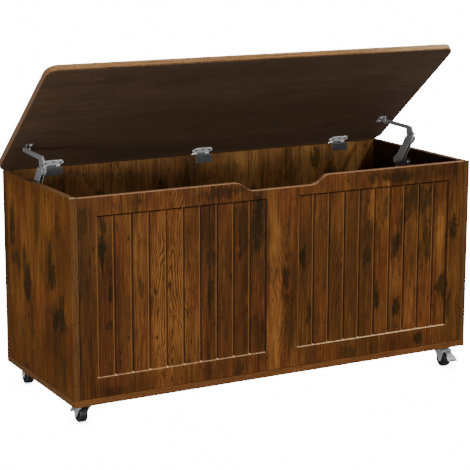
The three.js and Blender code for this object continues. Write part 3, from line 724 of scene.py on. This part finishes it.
def metalMaterial(name, colour, roughness, metallic, paintedHighlight):
    # Cloudy sheet metal. Its edges are a little round, and take a painted highlight where they turn.
    material, tree, shader = startMaterial(name)
    point = coordinates(tree)
    cloud = noise(tree, point, *sheet["cloud"])
    rounded = addNode(tree, "ShaderNodeBevel", {"samples": 6}, {"Radius": sheet["edgeRadius"]}).outputs[0]
    flat = addNode(tree, "ShaderNodeNewGeometry").outputs["True Normal"]
    turn = vectorCalc(tree, "DOT_PRODUCT", rounded, flat)
    # painted highlight where the edges turn
    rim = spread(tree, turn, *sheet["paintedHighlight"])
    dull = tuple(part * sheet["dullest"] for part in colour)
    plain = blendColour(tree, spread(tree, cloud, *sheet["clearing"]), dull, colour)
    put(tree, shader.inputs["Base Color"], blendColour(tree, rim, plain, paintedHighlight))
    shader.inputs["Metallic"].default_value = metallic
    rough = spread(tree, cloud, *sheet["roughening"], roughness, roughness + sheet["rougher"])
    put(tree, shader.inputs["Roughness"], rough)
    height = noise(tree, point, *sheet["grain"])
    bump = addNode(tree, "ShaderNodeBump", inputs={**sheet["bump"], "Height": height, "Normal": rounded})
    put(tree, shader.inputs["Normal"], bump.outputs[0])
    return material


wheelLook = {
    "hub": (0.008, 0.008, 0.009), "tread": (0.010, 0.010, 0.011), "scuffed": (0.026, 0.026, 0.027),
    "treadStart": (0.0148, 0.0152),  # from the axle
    "scuff": (900.0, 3.0, 0.6), "scuffing": (0.4, 0.7),
    "roughness": (0.32, 0.5),  # of the hub and of the tread
    "bump": {"Strength": 0.2, "Distance": 0.0001},
}


def wheelMaterial():
    # Smooth plastic hub, matt tread. The attribute reach is the distance from the axle.
    material, tree, shader = startMaterial("blackWheel")
    reach = addNode(tree, "ShaderNodeAttribute", {"attribute_name": "reach"}).outputs["Fac"]
    tread = spread(tree, reach, *wheelLook["treadStart"])
    scuff = noise(tree, coordinates(tree), *wheelLook["scuff"])
    scuffing = spread(tree, scuff, *wheelLook["scuffing"])
    rubber = blendColour(tree, scuffing, wheelLook["tread"], wheelLook["scuffed"])
    put(tree, shader.inputs["Base Color"], blendColour(tree, tread, wheelLook["hub"], rubber))
    put(tree, shader.inputs["Roughness"], spread(tree, tread, 0.0, 1.0, *wheelLook["roughness"]))
    bump = addNode(tree, "ShaderNodeBump", inputs={**wheelLook["bump"], "Height": scuff})
    put(tree, shader.inputs["Normal"], bump.outputs[0])
    return material


metals = {name: metalMaterial(name, *look) for name, look in metalLooks.items()}
wheelBlack = wheelMaterial()
for name in nodes:
    if name.startswith("hinge"):
        # The lid leaves take the whiter zinc, as painted highlight.
        dress(name, metals["leafZincPaintedLight" if name.endswith("lid_leaf") else "darkSteel"])
    elif name.startswith("stay"):
        # The side brackets and the left lid bracket take the darker zinc, as painted shade.
        shaded = name.endswith("side_bracket") or name == "stay_left_lid_bracket"
        dress(name, metals["shadedZinc" if shaded else "stayZinc"])
    elif name.startswith("caster"):
        dress(name, wheelBlack if name.endswith("wheel") else metals["casterZinc"])
print("metals done")


# Turned pieces: wheels, races, axles and rivets.

curve = {"points": 5, "most": 0.45}  # a curve takes up at most this much of each side


def eased(outline, amounts, closed=False):
    # Each corner becomes a curve of second order, between points that lie amount before and after it.
    corners = np.array(outline, float)
    count = len(corners)
    made = []
    for index, (here, amount) in enumerate(zip(corners, amounts)):
        if amount == 0 or (not closed and index in (0, count - 1)):
            made.append(here[None])
            continue
        ends = []
        for other in (corners[index - 1], corners[(index + 1) % count]):
            length = np.linalg.norm(other - here)
            ends.append(here + (other - here) / length * min(amount, curve["most"] * length))
        start, end = ends
        t = np.linspace(0, 1, curve["points"])[:, None]
        made.append((1 - t) ** 2 * start + 2 * t * (1 - t) * here + t ** 2 * end)
    return np.concatenate(made)


def turned(outline, segments, closed=False):
    # The outline's points (place along X, radius) swept round X. An open outline starts and ends
    # on the axis; a closed one is a ring's section.
    along, radius = np.asarray(outline, float).T
    if not closed:
        along, radius = along[1:-1], radius[1:-1]
    angle = np.arange(segments) * (2 * math.pi / segments)
    rings = np.stack([
        np.repeat(along[:, None], segments, 1),
        radius[:, None] * np.cos(angle),
        radius[:, None] * np.sin(angle),
    ], -1).reshape(-1, 3)
    row = np.arange(segments)
    nextRow = (row + 1) % segments
    count = len(along)
    first = np.arange(count if closed else count - 1)[:, None] * segments
    second = (first + segments) % (count * segments)
    quads = np.stack([first + row, first + nextRow, second + nextRow, second + row], -1).reshape(-1, 4)
    if closed:
        return rings, quads, np.zeros((0, 3), int)
    ends = np.array([[outline[0][0], 0, 0], [outline[-1][0], 0, 0]])
    last = (count - 1) * segments
    start = np.stack([nextRow, row, np.full(segments, len(rings))], -1)
    end = np.stack([last + row, last + nextRow, np.full(segments, len(rings) + 1)], -1)
    return np.concatenate([rings, ends]), quads, np.concatenate([start, end])


sharpAngle = math.radians(38)


def addPiece(name, shapes, material, body, stands=()):
    # Joins shapes, each (points, quads, triangles), into one mesh at the origin. It stands for the
    # nodes named in stands.
    points = np.concatenate([shape[0] for shape in shapes])
    offsets = np.cumsum([0] + [len(shape[0]) for shape in shapes[:-1]])
    faces = [(shape[part] + offset).tolist() for shape, offset in zip(shapes, offsets) for part in (1, 2)]
    mesh = bpy.data.meshes.new(name)
    mesh.from_pydata(points.tolist(), [], sum(faces, []))
    mesh.shade_smooth()
    mesh.set_sharp_from_angle(angle=sharpAngle)
    mesh.materials.append(material)
    piece = bpy.data.objects.new(name, mesh)
    bpy.context.collection.objects.link(piece)
    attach(piece, body)
    if stands:
        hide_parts(*stands)
    return piece


def moved(shape, centre):
    return shape[0] + np.array(centre), shape[1], shape[2]


def turnedToZ(shape):
    # X to Z, Z to Y and Y to X.
    return shape[0][:, [1, 2, 0]], shape[1], shape[2]


def middleAndHalf(name):
    low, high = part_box(name)
    return (low + high) / 2, (high - low) / 2


wheelShape = {
    # The right half of the section, from the bore's corner out to the tread's middle.
    "outline": [
        (0.0094, 0.0032), (0.0094, 0.0065), (0.0076, 0.0069), (0.0069, 0.0080), (0.0064, 0.0123),
        (0.0074, 0.0135), (0.0090, 0.0137), (0.0090, 0.0164), (0.0074, 0.01785), (0.0, 0.0180),
    ],
    "ease": [0.0003, 0.0005, 0.0004, 0.0006, 0.0008, 0.0006, 0.0003, 0.0005, 0.0012, 0.0],
    "segments": 96,
}


def addWheel(name):
    middle = middleAndHalf(name)[0]
    right, ease = wheelShape["outline"], wheelShape["ease"]
    left = [(-along, radius) for along, radius in right[:-1]]
    outline, amounts = left + right[::-1], ease[:-1] + ease[::-1]
    shape = turned(eased(outline, amounts, closed=True), wheelShape["segments"], closed=True)
    reach = np.hypot(shape[0][:, 1], shape[0][:, 2]).astype(np.float32)
    shape = moved(shape, middle)
    piece = addPiece(f"{name}_turned", [shape], wheelBlack, bodyOf[name], [name])
    piece.data.attributes.new("reach", "FLOAT", "POINT").data.foreach_set("value", reach)


raceShape = {
    # Heights from the kingpin's head. The last two points are at the race's top.
    "outline": [
        (0.0, 0.0), (0.0, 0.0045), (0.0011, 0.0065), (0.0028, 0.0065), (0.0028, 0.0037),
        (0.0054, 0.0037), (0.0054, 0.0110), (0.0071, 0.0140), (0.0091, 0.0140), (0.0091, 0.0),
    ],
    "ease": [0.0, 0.0006, 0.0005, 0.0003, 0.0002, 0.0002, 0.0005, 0.0007, 0.0003, 0.0],
    "segments": 64,
}


def addRace(name):
    middle, half = middleAndHalf(name)
    outline = [(min(height, 2 * half.z) - half.z, radius) for height, radius in raceShape["outline"]]
    outline[-2:] = [(half.z, outline[-2][1]), (half.z, 0)]
    shape = turnedToZ(turned(eased(outline, raceShape["ease"]), raceShape["segments"]))
    addPiece(f"{name}_turned", [moved(shape, middle)], metals["casterZinc"], bodyOf[name], [name])


# Crown is a share of the head's height, and plainFace one of the shaft's radius.
rivetForm = {"crown": 0.7, "plainFace": 0.8, "plainRim": 0.0003, "points": 8, "segments": 32}
rivetShapes = {
    # By the end of the node's name: the shaft's radius, the heads' height and the metal.
    "axle": (0.0030, 0.0018, "casterZinc"),
    "pedal_pin": (0.0015, 0.0010, "casterZinc"),
    "elbow_pin": (0.0020, 0.0010, "stayZinc"),
    "lid_pin": (0.0020, 0.0010, "stayZinc"),
    "foot_pin": (0.0020, 0.0010, "stayZinc"),
}


def rivetEnd(reach, shaft, radius, head):
    # One end's outline from the axis outwards: a head domed like a parabola, or a plain end without one.
    if head == 0:
        return [(reach, 0.0), (reach, shaft * rivetForm["plainFace"]), (reach - rivetForm["plainRim"], shaft)]
    t = np.linspace(0, 1, rivetForm["points"])
    dome = list(zip(reach - head * rivetForm["crown"] * t ** 2, radius * t))
    return dome + [(reach - head, radius), (reach - head, shaft)]


def addRivet(name, shaft, head, metal):
    # A foot pin has a plain end in its bracket, on the outer side.
    middle, half = middleAndHalf(name)
    heads = [head, head]
    if name.endswith("foot_pin"):
        heads[0 if middle.x < 0 else 1] = 0
    left, right = (rivetEnd(half.x, shaft, half.z, head) for head in heads)
    outline = [(-along, radius) for along, radius in left] + right[::-1]
    shape = moved(turned(outline, rivetForm["segments"]), middle)
    addPiece(f"{name}_turned", [shape], metals[metal], bodyOf[name], [name])


for name in nodes:
    if name.endswith("_wheel"):
        addWheel(name)
    elif name.endswith("_race"):
        addRace(name)
    for ending, shape in rivetShapes.items():
        if name.endswith(ending):
            addRivet(name, *shape)
print("turned pieces done")


# Screws. Each is a clearance away from its seat, and stops at its own turn.

screwSets = {
    # Each piece's screws: radius, height, metal, body and slot.
    "hingeScrewsBack": (0.0029, 0.00030, "blackenedSteel", "chest", "dark_steel"),
    "hingeScrewsLid": (0.0029, 0.00030, "blackenedSteel", "lid", "dark_steel"),
    "staySideScrews": (0.0031, 0.00025, "brightZinc", "chest", "zinc"),
    "stayLidScrews": (0.0034, 0.0012, "brightZinc", "lid", "zinc"),
    "casterScrews": (0.0034, 0.0012, "brightZinc", "chest", "zinc"),
}
screwForm = {
    # Crown and rim are shares of the height, and face is one of the radius.
    "crown": 0.45, "face": 0.94, "rim": 0.4, "shank": 0.0017, "depth": 0.0009,
    "points": 16, "segments": 48,
    "slot": {"half": 0.00040, "soft": 0.00015, "reach": 0.58, "end": 0.0003, "depth": 0.0008, "above": 0.45},
}
seats = {
    # Where the screws sit: from the leaf's middle and lower edge, ahead of the hinge line, from the
    # bracket's lower front corner, or from the plate's middle.
    "clearance": 0.00004, "turn": 0.7,
    "bodyLeaf": {"x": (-0.012, 0.012), "z": 0.008},
    "lidLeaf": {"places": ((-0.017, 0.014), (0.0, 0.018), (0.017, 0.014)), "thickness": 0.0013},
    "sideBracket": ((0.009, 0.009), (0.009, 0.028), (0.053, 0.009)),
    "lidBracket": {"x": 0.453, "ahead": (0.0875, 0.1015), "thickness": 0.0019},
    "plate": ((-0.016, -0.016), (0.016, -0.016), (0.016, 0.016), (-0.016, 0.016)),
}


def screwShape(radius, height):
    # A low dome, a parabola turned round X, with a cross cut in it, on a short shank. It stands on
    # X = 0 and looks along X.
    t = np.linspace(0, 1, screwForm["points"])[::-1]
    dome = list(zip(height * (1 - screwForm["crown"] * t ** 2), radius * screwForm["face"] * t))
    shank, depth, slot = (screwForm[key] for key in ("shank", "depth", "slot"))
    foot = [(-depth, 0.0), (-depth, shank), (0.0, shank), (0.0, radius), (height * screwForm["rim"], radius)]
    points, quads, triangles = turned(foot + dome, screwForm["segments"])
    along, y, z = points.T
    narrow, wide = np.minimum(abs(y), abs(z)), np.maximum(abs(y), abs(z))
    cut = np.clip((slot["half"] - narrow) / slot["soft"], 0, 1)
    cut = cut * np.clip((radius * slot["reach"] - wide) / slot["end"], 0, 1)
    points[:, 0] = np.where(along > height * slot["above"], along - slot["depth"] * cut, along)
    return points, quads, triangles


def placedScrew(shape, place, facing, spin):
    turn = Vector((1, 0, 0)).rotation_difference(Vector(facing)).to_matrix() @ Matrix.Rotation(spin, 3, "X")
    return shape[0] @ np.array(turn).T + np.array(place), shape[1], shape[2]


def lidPoint(x, ahead, above):
    return Vector((x, lidAxis.y, lidAxis.z)) + Vector(lidForward) * ahead + Vector(lidUp) * above


def screwsIn(name):
    # The piece that a node's screws belong to, and the (place, facing) of each. Facing points out.
    low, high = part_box(name)
    middle = (low + high) / 2
    inward = 1 if middle.x < 0 else -1
    gap = seats["clearance"]
    if name.endswith("body_leaf"):
        leaf = seats["bodyLeaf"]
        places = [(middle.x + x, low.y - gap, low.z + leaf["z"]) for x in leaf["x"]]
        return "hingeScrewsBack", [(place, forward) for place in places]
    if name.endswith("lid_leaf"):
        leaf = seats["lidLeaf"]
        places = [lidPoint(middle.x + x, ahead, -leaf["thickness"] - gap) for x, ahead in leaf["places"]]
        return "hingeScrewsLid", [(place, -Vector(lidUp)) for place in places]
    if name.endswith("side_bracket"):
        face = high.x + gap if inward > 0 else low.x - gap
        places = [(face, low.y + y, low.z + z) for y, z in seats["sideBracket"]]
        return "staySideScrews", [(place, (inward, 0, 0)) for place in places]
    if name.endswith("lid_bracket"):
        bracket = seats["lidBracket"]
        above = -bracket["thickness"] - gap
        places = [lidPoint(-inward * bracket["x"], ahead, above) for ahead in bracket["ahead"]]
        return "stayLidScrews", [(place, -Vector(lidUp)) for place in places]
    if name.endswith("_plate"):
        places = [(middle.x + x, middle.y + y, low.z - gap) for x, y in seats["plate"]]
        return "casterScrews", [(place, downward) for place in places]
    return None


placesOf = {piece: [] for piece in screwSets}
for name in nodes:
    found = screwsIn(name)
    if found:
        placesOf[found[0]] += found[1]
for piece, (radius, height, metal, body, slot) in screwSets.items():
    shape = screwShape(radius, height)
    shapes = [
        placedScrew(shape, place, facing, seats["turn"] * index)
        for index, (place, facing) in enumerate(placesOf[piece])
    ]
    addPiece(piece, shapes, metals[metal], body)
print("screws done")


# Studio: a white floor and soft lights.

studio = {
    "white": 16.0,  # what the camera sees behind the box
    "sky": 0.09,  # light from all round
    "shine": 0.4, "floorShine": 0.18,  # what the sky and the floor show in the metal
    "floorTone": (0.35, 0.35, 0.35, 1), "floorReach": 30.0,
    # painted shadow near the wheels: its reach, the occlusion ramp and its darkest share of the white
    "contactShadow": {"distance": 0.03, "ramp": (0.2, 0.95), "darkest": 0.25},
    "lights": {
        "key": {"place": (2.05, -3.1, 2.85), "size": (0.28, 0.28), "watts": 66},
        "leftFill": {"place": (-3.2, -1.4, 0.66), "size": (1.4, 0.3), "watts": 76},
        "top": {"place": (0.3, -1.0, 3.4), "size": (1.4, 1.4), "watts": 50},
        "rearFill": {"place": (0.9, 3.4, 1.9), "size": (1.8, 1.2), "watts": 85},
        "frontFill": {"place": (0.1, -2.9, 0.62), "size": (1.8, 0.3), "watts": 29},
    },
    "lit": (0, 0, 0.3),  # where the lights look
}


def whenSeen(tree, seen, mirrored, other):
    # Chooses a shader for what the camera sees, for what shines back from a surface, and for light.
    path = addNode(tree, "ShaderNodeLightPath").outputs
    chosen = other
    for ray, shader in (("Is Glossy Ray", mirrored), ("Is Camera Ray", seen)):
        chosen = addNode(tree, "ShaderNodeMixShader", inputs={0: path[ray], 1: chosen, 2: shader}).outputs[0]
    return chosen


def addFloor():
    # White where it is seen, with a soft painted shadow close to the wheels.
    mesh = bpy.data.meshes.new("studioFloor")
    reach, contactShadow, white = studio["floorReach"], studio["contactShadow"], studio["white"]
    corners = [(x * reach, y * reach, 0) for x, y in ((-1, -1), (1, -1), (1, 1), (-1, 1))]
    mesh.from_pydata(corners, [], [(0, 1, 2, 3)])
    floor = bpy.data.objects.new("studioFloor", mesh)
    bpy.context.collection.objects.link(floor)
    material = bpy.data.materials.new("whiteFloor")
    tree = emptyTree(material)
    nearby = addNode(tree, "ShaderNodeAmbientOcclusion", {"samples": 8}, {"Distance": contactShadow["distance"]})
    glow = spread(tree, nearby.outputs["AO"], *contactShadow["ramp"], contactShadow["darkest"] * white, white)
    seen = addNode(tree, "ShaderNodeEmission", inputs={"Strength": glow}).outputs[0]
    mirrored = addNode(tree, "ShaderNodeEmission", inputs={"Strength": studio["floorShine"]}).outputs[0]
    plain = addNode(tree, "ShaderNodeBsdfDiffuse", inputs={"Color": studio["floorTone"]}).outputs[0]
    addNode(tree, "ShaderNodeOutputMaterial", inputs={0: whenSeen(tree, seen, mirrored, plain)})
    mesh.materials.append(material)


def addSky():
    world = bpy.data.worlds.new("studio")
    tree = emptyTree(world)
    parts = [
        addNode(tree, "ShaderNodeBackground", inputs={"Strength": studio[key]}).outputs[0]
        for key in ("white", "shine", "sky")
    ]
    addNode(tree, "ShaderNodeOutputWorld", inputs={0: whenSeen(tree, *parts)})
    bpy.context.scene.world = world


def addLight(name, place, size, watts):
    data = bpy.data.lights.new(name, "AREA")
    data.shape = "RECTANGLE"
    data.size, data.size_y = size
    data.energy = watts
    light = bpy.data.objects.new(name, data)
    light.location = place
    light.rotation_euler = (Vector(studio["lit"]) - Vector(place)).to_track_quat("-Z", "Y").to_euler()
    bpy.context.collection.objects.link(light)


addFloor()
addSky()
for name, light in studio["lights"].items():
    addLight(name, **light)

view = {
    # Yaw from +Y and down from level, in degrees; lens and sensor in millimetres.
    "place": (-1.6685, -3.0283, 1.0764), "yaw": 28.088, "down": 11.388, "lens": 120.17, "sensor": 36,
    "shift": (0.0337, -0.05),
}
cameraData = bpy.data.cameras.new("camera")
cameraData.sensor_width = view["sensor"]
cameraData.lens = view["lens"]
cameraData.shift_x, cameraData.shift_y = view["shift"]
camera = bpy.data.objects.new("camera", cameraData)
camera.location = view["place"]
camera.rotation_euler = (math.radians(90 - view["down"]), 0, -math.radians(view["yaw"]))
bpy.context.collection.objects.link(camera)
bpy.context.scene.camera = camera

print("scene done")
